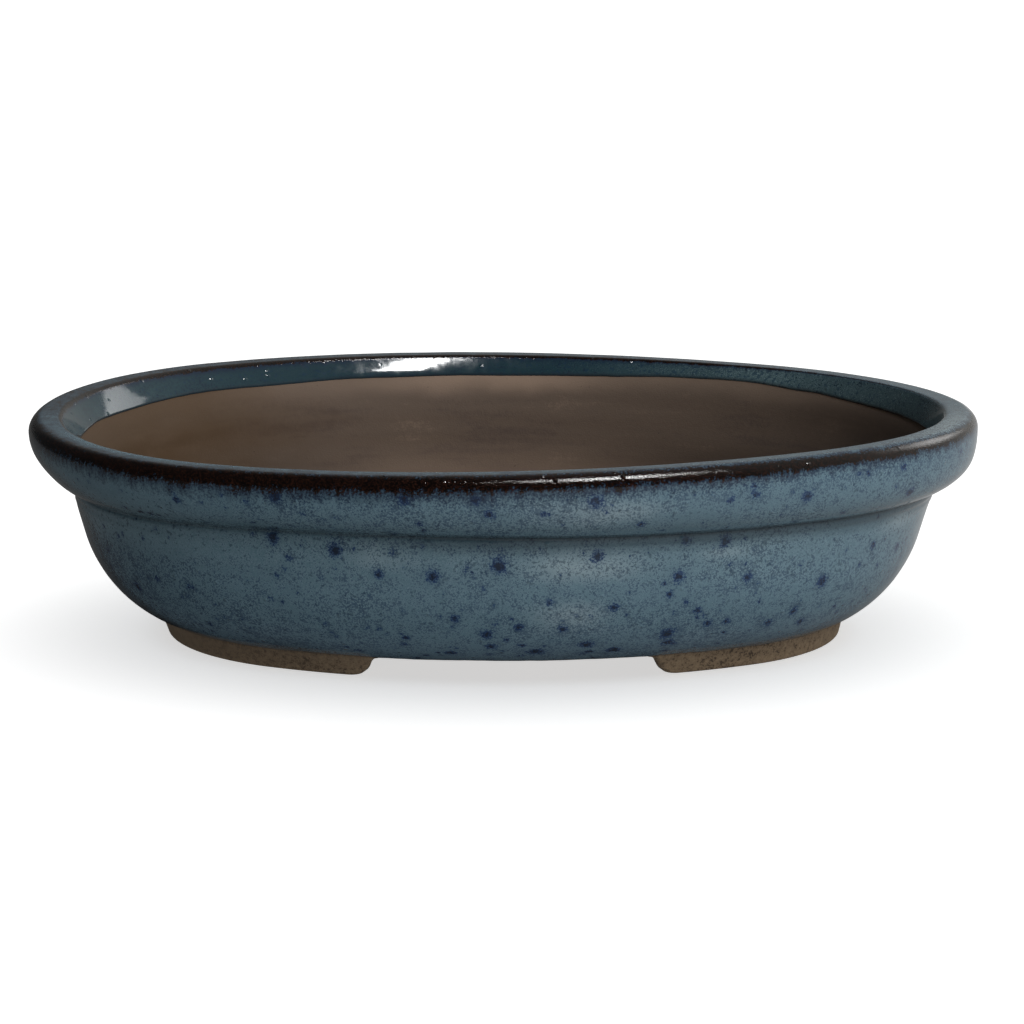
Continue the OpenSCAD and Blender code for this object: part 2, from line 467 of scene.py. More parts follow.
def pale_and_sheen_field(run):
    """How milky the glaze is, from 0 to 1, with painted sheen on the lip's top at the right end."""
    field = np.zeros(run.shape)
    for turn, down, half_length, half_height, strength in PALE_AND_SHEEN_PATCHES:
        beside = np.abs(round_distance(TURN) - round_distance(math.radians(turn)))
        beside = np.minimum(beside, ROUND - beside)
        field = np.maximum(field, strength * bell(beside, half_length) * bell(run - down, half_height))
    return field


NECK_RUN = 23.4
GROOVE = 0.45
GROOVE_HALF = 0.7
RIDGE_HALF = 0.4
# Scrape marks beside the crease: [distance below it, depth as a share of the groove's]
RIDGES = [[-2.2, 0.3], [-1.2, -0.25], [1.3, -0.3], [2.4, 0.3], [3.6, -0.2]]


def groove(run):
    """Depth of the crease where the band meets the wall, and of the scrape marks beside it."""
    depth = GROOVE * bell(run - NECK_RUN, GROOVE_HALF)
    for place, share in RIDGES:
        depth = depth + GROOVE * share * bell(run - NECK_RUN - place, RIDGE_HALF)
    return depth


# How far the glaze runs down inside, by direction in degrees
GLAZE_DROP = {0: 6.9, 30: 6.4, 50: 5.2, 64: 4.1, 90: 5.4, 120: 6.2, 150: 7.1, 180: 7.4,
              225: 6.6, 270: 6.0, 315: 6.6}


def wavy(height, length, seed):
    """A wavering line round the pot: an offset in millimetres for each station."""
    x, y = on_oval(TURN, 0)
    return height * waves(np.stack([x, y], -1) @ np.eye(2, 3), length, seed)


def glaze_relief(line):
    """The coat's slight unevenness, in millimetres."""
    points = plain_points(line)
    return 0.018 * waves(points, 13, 3) + 0.004 * waves(points, 3.6, 4)


def coat(name, line, ends, free, material, run):
    """A glaze coat as a closed ring; ends is how far its surface sinks towards a free edge."""
    relief = glaze_relief(line)
    skin = deep(line, ends - relief + groove(run))
    back = deep(line, GLAZE_T + SKIN)[::-1]
    values = {"run": run, "spot": spot_field(run), "iron": iron_field(run),
              "dense": dense_field(run), "pale": pale_and_sheen_field(run), "free": free}
    return ring(name, skin, back, material, values)


def rounded_end(from_end):
    """Depth of a coat's surface near its free edge, which rounds down to the clay."""
    u = np.clip(1 - from_end / GLAZE_T, 0, 1)
    return (GLAZE_T + SKIN / 2) * (1 - np.sqrt(1 - u**2))


# The inner glaze ends in a low roll
ROLL = 0.13
ROLL_REACH = 3.0


def make_lip_coat(material):
    """The coat over the lip, from its outer edge to the wavering line inside."""
    over = arc(LIP_C, LIP_R, LIP_SPLIT, 90, step=0.12)
    flat = straight(LIP_C + [0, LIP_R], EDGE_C + [0, EDGE_R], (0, 1), step=0.5)
    edge = arc(EDGE_C, EDGE_R, 90, EDGE_END, step=0.2)
    bottom = POT_H - round_the_pot(GLAZE_DROP, TURN)
    bottom = bottom + wavy(height=0.12, length=24, seed=21) + wavy(height=0.03, length=7, seed=22)
    end = np.degrees(np.arcsin((bottom - INNER_C[1]) / INNER_GLAZED))
    slope = arc(INNER_C, INNER_GLAZED, EDGE_END, end, step=0.12)
    line = joined(over, flat, edge, slope)
    run = -run_along(line)
    free = run - run[-1]
    roll = ROLL * np.clip(1 - free / ROLL_REACH, 0, 1) ** 2
    return coat("lip_glaze_coat", line, rounded_end(free) + roll, free, material, run)


# Stands for a point far from any free edge of the glaze
NO_EDGE = 50.0


def make_band_coat(material):
    """The coat on the outside of the band, which has no free edge."""
    lip = arc(LIP_C, LIP_R, LIP_SPLIT, 180, step=0.12)
    side = arc(BAND_C, BAND_R, 180, BAND_END, step=0.6)
    neck = arc(NECK_C, NECK_R, BAND_END - 180, WALL_LEAN, step=0.15, hollow=True)
    line = joined(lip, side, neck)
    run = run_along(line)
    far = np.full_like(run, NO_EDGE)
    return coat("band_glaze_coat", line, np.zeros_like(run), far, material, run)


BAND_RUN = (math.radians(180 - LIP_SPLIT) * LIP_R + math.radians(BAND_SWEEP) * BAND_R
            + math.radians(BAND_SWEEP - WALL_LEAN) * NECK_R)
TIP = 1.0


def make_wall_coat(material):
    """The coat on the wall; its last millimetre has closer points, for the rounded edge."""
    wall = straight(HEAD, BELLY_START, -LEAN, step=0.6)
    bottom = GLAZE_LINE + wavy(height=0.16, length=20, seed=31) + wavy(height=0.09, length=6, seed=32)
    end = belly_angle(BELLY_R, bottom)
    belly = arc(BELLY_C, BELLY_R, 180 + WALL_LEAN, end, step=0.5)
    tip = arc(BELLY_C, BELLY_R, end, end + math.degrees(TIP / BELLY_R), step=0.1)
    line = joined(wall, belly, tip)
    run = BAND_RUN + run_along(line)
    free = run[-1] - run
    return coat("wall_glaze_coat", line, rounded_end(free), free, material, run)


# ------------ clay

RING_HEIGHT, RING_PITCH = 0.07, 5.2
UNEVEN_HEIGHT, UNEVEN_LENGTH = 0.1, 30


def turned(line):
    """Relief of a wall that was shaped with a rib: faint rings, and slow unevenness."""
    points = plain_points(line)
    rings = RING_HEIGHT * waves(points * [0.05, 0.05, 1], RING_PITCH, 41)
    return rings + UNEVEN_HEIGHT * waves(points, UNEVEN_LENGTH, 42)


def below_glaze(line):
    """How far each point inside the pot is below the nominal edge of the inner glaze."""
    return POT_H - round_the_pot(GLAZE_DROP, TURN) - line[..., 1]


# The rim has this share of the relief, and the wall has all of it a little below its top
RIM_RELIEF = 0.6
HEAD_FADE = 2
WALL_BELOW_FLOOR = 0.6


def make_rim_clay(material):
    """The band: hidden under the glaze outside, bare below the lip's glaze inside."""
    edge = arc(EDGE_C, EDGE_R, 90, EDGE_END, step=0.4)
    slope = arc(INNER_C, INNER_GLAZED, EDGE_END, WALL_LEAN, step=0.5)
    inside = joined(edge, slope)
    lip = arc(LIP_C, LIP_R, 90, 180, step=0.6)
    side = arc(BAND_C, BAND_R, 180, BAND_END, step=1.2)
    neck = arc(NECK_C, NECK_R, BAND_END - 180, WALL_LEAN, step=0.4, hollow=True)
    outside = joined(lip, side, neck)
    relief = np.where(inside[..., 1] < EDGE_Z, turned(inside), 0) * RIM_RELIEF
    return ring("rim_band_clay", deep(inside, GLAZE_T - relief), deep(outside, GLAZE_T)[::-1],
                material, {"bare": below_glaze(inside)}, sharp=60)


def make_wall_clay(material):
    """The wall between slab and band: bare inside, glazed outside down to the line above the feet."""
    far = BELLY_R - WALL_T
    under_floor = belly_angle(far, FLOOR_TOP - WALL_BELOW_FLOOR)
    wall = straight(HEAD_IN, HEAD_IN + (BELLY_START - HEAD), LEAN, step=0.6)
    belly = arc(BELLY_C, far, 180 + WALL_LEAN, under_floor, step=0.6, hollow=True)
    inside = joined(wall, belly)
    fade = np.clip((inside[0, 0, 1] - inside[..., 1]) / HEAD_FADE, 0, 1)
    skin = deep(inside, -turned(inside) * (RIM_RELIEF + (1 - RIM_RELIEF) * fade))
    corner = belly[-1:].copy()
    corner[..., 1] = FOOT_TOP
    under = BELLY_R - GLAZE_T
    outer_belly = arc(BELLY_C, under, belly_angle(under, FOOT_TOP), 180 + WALL_LEAN, step=0.8)
    outer_wall = deep(straight(BELLY_START, HEAD, -LEAN, step=1.2), GLAZE_T)
    back = joined(corner, outer_belly[:1], outer_belly, outer_wall)
    return ring("bowl_wall_clay", skin, back, material, {"bare": below_glaze(inside)}, sharp=50)


def rounding(distance, radius):
    """How far an edge rounded with that radius drops at a distance in from it."""
    t = np.clip(1 - distance / radius, 0, 1)
    return radius * (1 - np.sqrt(1 - t**2))


def slab_holes():
    """The slab's holes as [x, y, radius]."""
    drains = [(sx * DRAIN_PITCH / 2, 0, DRAIN_D / 2) for sx in (-1, 1)]
    wires = [(sx * WIRE_PITCH_X / 2, sy * WIRE_PITCH_Y / 2, WIRE_D / 2)
             for sx in (-1, 1) for sy in (-1, 1)]
    return drains + wires


def hole_gap(points):
    """Distance from each point [x, y] to the edge of the nearest hole."""
    return np.min([np.hypot(points[..., 0] - x, points[..., 1] - y) - r for x, y, r in slab_holes()], 0)


def way_out(x, y):
    """Direction in which the oval faces where a point of the slab lies, in radians."""
    if abs(x) < END_X:
        return math.atan2(y + SIDE_Y * np.sign(y), x)
    return math.atan2(y, x - END_X * np.sign(x))


# Rings of points round each hole and inside the slab's outline keep its triangles even
HOLE_STEPS = [0, 0.2, 0.5, 0.9, 1.5, 2.6]
RIM_STEPS = [2, 5]
RIM_CLEAR = 2
HOLE_CLEAR = 1
DRAIN_SIDES, WIRE_SIDES = 96, 48
SLAB_GRID = 4.0
SLAB_OVERLAP = 0.5
SLAB_RELIEF = 0.12
HOLE_ROUND = 1.0
AT_HOLE = 0.01


def slab_plan(edge_d):
    """Points over the slab's plan, and the edges of its outline and holes."""
    flat, borders = [], []

    def add_loop(points, border):
        start, count = len(flat), len(points)
        flat.extend(Vector(p) for p in points)
        if border:
            borders.extend((start + i, start + (i + 1) % count) for i in range(count))

    add_loop(np.stack(on_oval(TURN[::3], edge_d), -1), border=True)
    for step in RIM_STEPS:
        add_loop(np.stack(on_oval(TURN[::4], edge_d + step), -1), border=False)
    for x, y, radius in slab_holes():
        sides = DRAIN_SIDES if radius > WIRE_D else WIRE_SIDES
        ways = polar(np.arange(sides) / sides * 2 * math.pi)
        for step in HOLE_STEPS:
            add_loop((x, y) + (radius + step) * ways, border=step == 0)
    for x in np.arange(-POT_L / 2, POT_L / 2, SLAB_GRID):
        for y in np.arange(-POT_W / 2, POT_W / 2, SLAB_GRID):
            rim = on_oval(np.array(way_out(x, y)), edge_d + RIM_STEPS[-1] + RIM_CLEAR)
            clear_of_rim = math.hypot(x, y) < np.hypot(*rim) - RIM_CLEAR
            if clear_of_rim and hole_gap(np.array([x, y])) > HOLE_STEPS[-1] + HOLE_CLEAR:
                flat.append(Vector((x, y)))
    return flat, borders


def make_slab_clay(material):
    """The base slab, with rounded drainage and tie-wire holes, as one closed solid."""
    far = BELLY_R - WALL_T
    wall_d = BELLY_C[0] + far * math.cos(math.radians(belly_angle(far, FLOOR_TOP)))
    points, _, triangles, *_ = delaunay_2d_cdt(*slab_plan(wall_d - SLAB_OVERLAP), [], 0, 1e-5)
    points = np.array(points)
    count = len(points)
    solid = hole_gap(points[np.array(triangles)].mean(1)) > 0
    triangles = [tuple(t) for t, keep in zip(triangles, solid) if keep]
    gap = hole_gap(points)
    drop = rounding(np.clip(gap, 0, None), HOLE_ROUND)
    relief = SLAB_RELIEF * waves(np.c_[points, np.zeros(count)], 26, 51) * (gap > AT_HOLE)
    top = fired(*points.T, FLOOR_TOP + relief - drop)
    bottom = fired(*points.T, FOOT_TOP + drop / 2)
    edges = [(a, b) for t in triangles for a, b in zip(t, t[1:] + t[:1])]
    known = set(edges)
    faces = triangles + [tuple(count + v for v in t[::-1]) for t in triangles]
    faces += [(b, a, count + a, count + b) for a, b in edges if (b, a) not in known]
    return make_mesh("floor_slab_clay", np.concatenate([top, bottom]), faces, material,
                     {"bare": np.full(count * 2, NO_EDGE)}, sharp=50)


# ------------ feet

FOOT_CORNER = 2.2
FOOT_STEP = 1.2
FOOT_INTO_SLAB = 0.4
FOOT_SWELL = 0.12
SWELL_HEIGHT = 1.5


def gap_edge(z):
    """How far the foot's end draws back from its top at height z: a fillet above, a toe below."""
    run = (GAP_BOTTOM - GAP_TOP) / 2
    turn = 2 * math.atan(FOOT_TOP / run)
    fillet_r = run / math.sin(turn) / 3
    toe_r = 2 * fillet_r
    if z > FOOT_TOP - fillet_r * (1 - math.cos(turn)):
        return math.sqrt(max(fillet_r**2 - (z - FOOT_TOP + fillet_r) ** 2, 0))
    return run - math.sqrt(max(toe_r**2 - (z - toe_r) ** 2, 0))


def foot_levels():
    """Heights of a foot's rows of points from its top, inside the slab, down to the floor."""
    top = FOOT_TOP - np.array([-FOOT_INTO_SLAB, 0, 0.1, 0.3, 0.6, 1, 1.5, 2])
    rounded = FOOT_ROUND * (1 + polar(np.radians(np.arange(180, 271, 15)))[:, 1])
    return np.unique(np.round(np.concatenate([top, [2.9, 2.4, 1.8], rounded]), 4))[::-1]


def strip_outline(length, inset):
    """Outline of a straight strip with rounded corners: distances along it and across it."""
    corner = FOOT_CORNER * (1 + polar(np.radians(np.linspace(180, 270, 8))))
    steps = int((length - 2 * FOOT_CORNER) / FOOT_STEP)
    side = np.linspace(FOOT_CORNER, length - FOOT_CORNER, steps)[1:-1]
    along = np.concatenate([corner[:, 0], side, length - corner[::-1, 0]])
    across = np.concatenate([corner[:, 1], np.zeros(steps - 2), corner[::-1, 1]])
    across = np.concatenate([across + inset, (FOOT_W - across - inset)[::-1]])
    return np.concatenate([along, along[::-1]]), across


def make_foot(name, side, material):
    """A strip under the slab's edge, round one end of the pot; side is 1 for +X."""
    under = BELLY_R - GLAZE_T
    foot_d = BELLY_C[0] + under * math.cos(math.radians(belly_angle(under, GLAZE_LINE)))
    end_turn = math.acos(GAP_TOP / 2 / (SIDE_R - foot_d))
    fine = np.linspace(-end_turn, end_turn, 2001)
    run = distance_along(fine, foot_d + FOOT_W / 2)
    length, skew = run[-1], 1 / math.tan(end_turn)
    levels = []
    for z in foot_levels():
        start = gap_edge(min(z, FOOT_TOP))
        along, across = strip_outline(length, rounding(z, FOOT_ROUND))
        along = start + along * (1 - 2 * start / length)
        turn = np.interp(along + skew * across * (1 - 2 * along / length), run, fine)
        slope = FOOT_SLOPE * (1 - min(z, FOOT_TOP) / FOOT_TOP) * (1 - across / FOOT_W)
        x, y = on_oval(turn, foot_d + across + slope - spread(z))
        levels.append(np.stack([x * side, y * side, np.full_like(x, z)], -1))
    levels = np.array(levels)
    swell = FOOT_SWELL * waves(levels, 16, 61) * np.clip(levels[..., 2] / SWELL_HEIGHT, 0, 1)
    outward = levels[..., :2] - levels[..., :2].mean(1, keepdims=True)
    levels[..., :2] += outward / np.linalg.norm(outward, axis=-1, keepdims=True) * swell[..., None]
    rows, columns = levels.shape[:2]
    faces = loop_faces(rows, columns, wrap_rows=False)
    last = (rows - 1) * columns
    for i in range(columns // 2 - 1):
        pair = columns - 1 - i
        faces.append((i, pair, pair - 1, i + 1))
        faces.append((last + i, last + i + 1, last + pair - 1, last + pair))
    points = fired(*np.moveaxis(levels, -1, 0))
    return make_mesh(name, points, faces, material,
                     {"bare": np.full(rows * columns, NO_EDGE)}, sharp=50)


# ------------ materials

class Graph:
    """The node tree of a material or a world, built with short calls. Lengths are in millimetres."""

    def __init__(self, owner):
        owner.use_nodes = True
        self.owner, self.tree = owner, owner.node_tree
        self.tree.nodes.clear()

    def put(self, socket, value):
        """Links a socket to another one, or gives it a plain value."""
        if isinstance(value, bpy.types.NodeSocket):
            self.tree.links.new(value, socket)
        else:
            socket.default_value = value

    def node(self, kind, inputs=(), **settings):
        made = self.tree.nodes.new(kind)
        for key, value in settings.items():
            setattr(made, key, value)
        for key, value in dict(inputs).items():
            self.put(made.inputs[key], value)
        return made

    def math(self, operation, *values):
        return self.node("ShaderNodeMath", enumerate(values), operation=operation).outputs[0]

    def total(self, *pairs):
        """Sum of value times weight."""
        result = None
        for value, weight in pairs:
            part = self.math("MULTIPLY", value, weight)
            result = part if result is None else self.math("ADD", result, part)
        return result

    def product(self, first, *others):
        for value in others:
            first = self.math("MULTIPLY", first, value)
        return first

    def place(self, x=1, y=1, z=1):
        """The point in the pot's own frame, in millimetres, squeezed by these factors."""
        at = self.node("ShaderNodeTexCoord").outputs["Object"]
        factors = (x / MM, y / MM, z / MM)
        return self.node("ShaderNodeVectorMath", {0: at, 1: factors}, operation="MULTIPLY").outputs[0]

    def axes(self, at):
        return self.node("ShaderNodeSeparateXYZ", {0: at}).outputs

    def noise(self, at, size, detail=2, roughness=0.5, shift=0):
        """Noise about 0, with features of about size millimetres."""
        moved = self.node("ShaderNodeVectorMath", {0: at, 1: (shift,) * 3}, operation="ADD").outputs[0]
        inputs = {"Vector": moved, "Scale": 1 / size, "Detail": detail, "Roughness": roughness}
        return self.math("SUBTRACT", self.node("ShaderNodeTexNoise", inputs).outputs[0], 0.5)

    def step(self, value, low, high):
        """0 below low, 1 above high, smooth between; low may be the greater."""
        inputs = {"Value": value, "From Min": low, "From Max": high}
        return self.node("ShaderNodeMapRange", inputs, interpolation_type="SMOOTHSTEP").outputs[0]

    def mix(self, share, a, b):
        """Colour a where the share is 0 and colour b where it is 1."""
        colours = [c if isinstance(c, bpy.types.NodeSocket) else (*c, 1) for c in (a, b)]
        inputs = {0: share, 6: colours[0], 7: colours[1]}
        return self.node("ShaderNodeMix", inputs, data_type="RGBA").outputs[2]

    def cover(self, base, colour, share, strength=1.0):
        """The base with a colour laid over it, by share times strength."""
        return self.mix(self.math("MULTIPLY", share, strength), base, colour)

    def value(self, name):
        """A number that the mesh carries."""
        return self.node("ShaderNodeAttribute", attribute_name=name).outputs["Fac"]

    def bump(self, height, distance, normal=None):
        inputs = {"Height": height, "Distance": distance * MM}
        if normal is not None:
            inputs["Normal"] = normal
        return self.node("ShaderNodeBump", inputs).outputs[0]

    def finish(self, **inputs):
        """The material, its shader's inputs given with _ for each space of their names."""
        named = {key.replace("_", " "): value for key, value in inputs.items()}
        shader = self.node("ShaderNodeBsdfPrincipled", named)
        self.node("ShaderNodeOutputMaterial", {"Surface": shader.outputs[0]})
        return self.owner


def screen(*levels):
    """A colour from 0-255 screen levels to linear light."""
    parts = [level / 255 for level in levels]
    return tuple(p / 12.92 if p <= 0.04045 else ((p + 0.055) / 1.055) ** 2.4 for p in parts)


BLUE_SHADE = screen(90, 117, 130)
BLUE_GROUND = screen(126, 154, 164)
# Milky glaze, also used for a painted sheen on the lip's top at the right end
BLUE_MILK_AND_SHEEN = screen(160, 178, 184)
INSIDE_SHADE = screen(28, 44, 56)
INSIDE_BLUE = screen(46, 70, 76)
# Painted sheen: the inner glaze at the right end is paler, for the reflection of a bright upper left
INSIDE_SHEEN = screen(142, 168, 172)
FLECK = screen(37, 62, 88)
INSIDE_FLECK = screen(26, 48, 56)
DOT = screen(26, 48, 68)
LOW_WALL = screen(84, 104, 124)
SPOT_EDGE = screen(22, 54, 98)
SPOT_MIDDLE = screen(7, 20, 44)
NAVY = screen(24, 36, 56)
IRON_BLACK = screen(9, 5, 4)
IRON_RUST = screen(46, 25, 17)
# Painted shade in the groove under the band and along its crease
GROOVE_SHADE = screen(30, 46, 56)
CREASE_SHADE = screen(20, 30, 38)
COAT_EDGE = screen(38, 44, 50)

# Places between which an effect sets in: distances below the lip's edge
INSIDE_FROM = (CREST_RUN + 1, CREST_RUN - 1)
WALL_FROM = (26, 36)
LOW_WALL_FROM = (46, 66)
# where the painted shade under the band lies
GROOVE_SHADE_FROM = (18.5, 23)
GROOVE_SHADE_TO = (29, 24)
# and distances along the pot's length
# where the painted sheen on the inner glaze sets in, towards the right end
INSIDE_SHEEN_FROM = (10, 95)
# where the flecks close up at the wall's left end: speckle, and painted shade
LEFT_FLECKS_AND_SHADE_FROM = (-60, -120)
FULL_FLECKS_FROM = (-105, -55)
# where the painted shade under the band deepens, towards the left
DEEP_GROOVE_SHADE_FROM = (-60, 0)

PIMPLE_GAP = 5.0
PIMPLE_HEIGHT = 2.5
PIMPLE_BUMP = 0.075
SKIN_BUMP = 0.016
CRYSTAL_BUMP = 0.045
GLAZE_IOR = 1.52


class Glaze(Graph):
    """The blue glaze's nodes. Noises are shared between its effects, and the mesh says where they go."""

    def __init__(self, name):
        super().__init__(bpy.data.materials.new(name))
        self.at = self.place()
        self.along = self.axes(self.at)[0]
        self.run = self.value("run")
        self.fine = self.noise(self.at, 0.55, roughness=0.6)
        self.grain = self.noise(self.at, 0.28, detail=1, shift=7)
        self.cluster = self.noise(self.at, 3.4, detail=3, roughness=0.6, shift=19)
        self.cloud = self.noise(self.place(0.35, 0.35, 1), 13, shift=31)
        self.inside = self.step(self.run, *INSIDE_FROM)

    def ground(self):
        """The coat's colour before any marks, with painted sheen inside towards the right end, and how
        milky it is.
        """
        tone = self.total((self.fine, 1.4), (self.cluster, 0.8), (self.cloud, 0.6))
        tone = self.step(tone, -0.3, 0.3)
        # Milky patches, and a painted sheen on the lip's top at the right end
        milk_and_sheen = self.total((self.value("pale"), 1), (self.cloud, 0.8), (self.cluster, 0.25))
        milk_and_sheen = self.step(milk_and_sheen, 0.05, 0.95)
        outer = self.mix(milk_and_sheen, self.mix(tone, BLUE_SHADE, BLUE_GROUND), BLUE_MILK_AND_SHEEN)
        # Painted sheen: the inner glaze grows paler towards the right end
        inner = self.mix(self.step(self.along, *INSIDE_SHEEN_FROM), INSIDE_BLUE, INSIDE_SHEEN)
        inner = self.mix(tone, INSIDE_SHADE, inner)
        return self.mix(self.inside, outer, inner), milk_and_sheen

    def speckled(self, base, milk_and_sheen):
        """Fine flecks, closer near spots and at the wall's left end (partly painted shade), larger dots, a
        duller low wall.
        """
        on_wall = self.step(self.run, *WALL_FROM)
        # Closer flecks at the wall's left end: real speckle, and painted shade
        left_flecks_and_shade = self.product(on_wall, self.step(self.along, *LEFT_FLECKS_AND_SHADE_FROM))
        near_spot = self.step(self.value("spot"), BETWEEN_SPOTS, 0.3)
        flecks = self.total((self.fine, 1.6), (self.grain, 0.7), (self.cluster, 0.9), (self.cloud, 0.4),
                            (self.value("dense"), 0.15), (near_spot, 0.12), (left_flecks_and_shade, 0.08))
        flecks = self.step(flecks, -0.13, 0.27)
        full = self.math("MAXIMUM", self.step(self.along, *FULL_FLECKS_FROM), on_wall)
        strength = self.total((milk_and_sheen, -0.35), (full, 0.37), (0.45, 1))
        base = self.cover(base, self.mix(self.inside, FLECK, INSIDE_FLECK), flecks, strength)
        dots = self.total((self.noise(self.at, 1.0, detail=1, shift=53), 1), (self.cloud, 0.3))
        base = self.cover(base, DOT, self.step(dots, 0.1, 0.2), 0.5)
        low_wall = self.step(self.total((self.run, 1), (self.cloud, 14)), *LOW_WALL_FROM)
        return self.cover(base, LOW_WALL, low_wall, 0.35)

    def spotted(self, base):
        """Feathered blue spots, almost black in the middle; also returns where they are."""
        edge = self.total((self.value("spot"), 1), (self.fine, 2.0), (self.grain, 1.0), (self.cluster, 0.7))
        blot = self.step(edge, -0.4, 0.4)
        ink = self.mix(self.step(edge, 0.1, 0.8), SPOT_EDGE, SPOT_MIDDLE)
        return self.cover(base, ink, blot, 0.9), blot

    def broken(self, base):
        """Iron brown with a navy fringe where the glaze is thin; also returns where it is brown."""
        streak = self.noise(self.place(1, 1, 0.25), 1.4, shift=43)
        thin = self.total((self.value("iron"), 1), (self.fine, 1.6), (streak, 1.2), (self.cluster, 1.2))
        base = self.cover(base, NAVY, self.step(thin, -1.3, 0.2), 0.85)
        rusty = self.step(self.math("ADD", self.fine, self.grain), 0.0, 0.2)
        brown = self.step(thin, -0.05, 0.35)
        return self.cover(base, self.mix(rusty, IRON_BLACK, IRON_RUST), brown), brown

    def shaded_groove_and_edge(self, base):
        """Painted shade in the groove under the band and a painted dark line in its crease, and a dark line
        along the coat's free edge.
        """
        # Painted shade in the groove under the band, deeper towards the left, and a painted dark line in
        # its crease
        hollow = self.product(self.step(self.run, *GROOVE_SHADE_FROM), self.step(self.run, *GROOVE_SHADE_TO))
        strength = self.total((self.step(self.along, *DEEP_GROOVE_SHADE_FROM), 0.5), (0.15, 1))
        base = self.cover(base, GROOVE_SHADE, hollow, strength)
        from_crease = self.math("ABSOLUTE", self.math("SUBTRACT", self.run, NECK_RUN))
        base = self.cover(base, CREASE_SHADE, self.step(from_crease, 0.9, 0.2), 0.35)
        edge = self.step(self.total((self.value("free"), 1), (self.fine, 1.6)), 1.3, 0.3)
        return self.cover(base, COAT_EDGE, edge, 0.5)

    def relief(self, blot, brown):
        """Pimples a few millimetres apart, a faintly uneven skin, and fine crystals in the brown."""
        inputs = {"Vector": self.at, "Scale": 1 / PIMPLE_GAP}
        distance = self.node("ShaderNodeTexVoronoi", inputs).outputs["Distance"]
        pimples = self.product(self.step(distance, 0.16, 0), PIMPLE_HEIGHT)
        skin = self.total((self.noise(self.at, 2.6, detail=1, shift=3), 1), (self.fine, 0.1),
                          (self.grain, 0.05), (blot, -0.06))
        crystals = self.product(brown, self.math("ADD", self.grain, self.fine))
        smooth = self.bump(skin, SKIN_BUMP, self.bump(pimples, PIMPLE_BUMP))
        return self.bump(crystals, CRYSTAL_BUMP, smooth)


def glaze(name):
    """Glossy blue glaze: fine dark speckle, feathered spots, iron brown where it breaks over edges."""
    g = Glaze(name)
    base, milk_and_sheen = g.ground()
    base, blot = g.spotted(g.speckled(base, milk_and_sheen))
    base, brown = g.broken(base)
    rough = g.total((g.step(g.cluster, -0.1, 0.2), 0.05), (brown, -0.04), (0.09, 1))
    return g.finish(Base_Color=g.shaded_groove_and_edge(base), Roughness=rough, Normal=g.relief(blot, brown),
                    IOR=GLAZE_IOR)


# Places between which the clay's tone changes: distance below the glaze inside,
FLASH_FROM = (7, 0)
# distances from the middle of the pot's length, and heights,
MIDDLE_FROM = (45, 5)
# painted shade deep inside, towards the ends:
SHADE_ENDS_FROM = (30, 75)
SHADE_DEPTH_FROM = (43, 30)
ABOVE_FEET_FROM = (6, 10)
PALE_CENTRE_FROM = (60, 10)
PALE_DEPTH_FROM = (40, 28)
# and distance along the pot's length
TOASTED_FROM = (-40, -95)
CLAY_BUMP = 0.05


def clay(name, grain, light, middle, dark, toasted, speck_and_shade):
    """Bare fired stoneware: sandy grain, drifting tone and iron specks. Inside it is light near the
    glaze and in the centre, has painted shade deep down towards the ends, and is toasted at the left."""
    g = Graph(bpy.data.materials.new(name))
    at = g.place()
    along, _, height = g.axes(at)
    apart = g.math("ABSOLUTE", along)
    bands = g.noise(g.place(0.12, 0.12, 1), 3.5, detail=3, roughness=0.55)
    drift = g.noise(g.place(0.5, 0.5, 1), 16, detail=3, roughness=0.55, shift=5)
    sand = g.noise(at, 0.45, roughness=0.65, shift=11)
    coarse = g.noise(at, 1.5, roughness=0.6, shift=23)
    tone = g.total((bands, 0.9), (drift, 1.15), (sand, grain), (coarse, grain * 0.8))
    base = g.mix(g.step(tone, -0.42, 0.05), dark, middle)

    flash = g.step(g.total((g.value("bare"), 1), (drift, 10)), *FLASH_FROM)
    flash = g.math("MAXIMUM", flash, g.step(tone, 0.1, 0.7))
    base = g.cover(base, light, flash, g.total((g.step(apart, *MIDDLE_FROM), 0.6), (0.38, 1)))
    # Painted shade deep inside towards the ends, in the speck colour
    depth_shade = g.product(g.step(height, *SHADE_DEPTH_FROM), g.step(height, *ABOVE_FEET_FROM))
    base = g.cover(base, speck_and_shade, g.product(depth_shade, g.step(apart, *SHADE_ENDS_FROM)), 0.38)
    centre = g.product(g.step(height, *PALE_DEPTH_FROM), g.step(apart, *PALE_CENTRE_FROM))
    base = g.cover(base, light, centre, 0.35)
    scorch = g.step(g.total((along, 1), (drift, 60)), *TOASTED_FROM)
    base = g.cover(base, toasted, scorch, 0.75)
    pepper = g.total((g.noise(at, 0.7, detail=1, shift=37), 1), (coarse, 0.3))
    pepper = g.step(pepper, 0.26, 0.33)
    base = g.cover(base, speck_and_shade, pepper, 0.5)

    grit = g.total((sand, 1), (coarse, 0.8), (bands, 0.5), (pepper, -0.3))
    rough = g.total((sand, 0.12), (0.78, 1))
    return g.finish(Base_Color=base, Roughness=rough, Normal=g.bump(grit, CLAY_BUMP))


# ------------ the pot


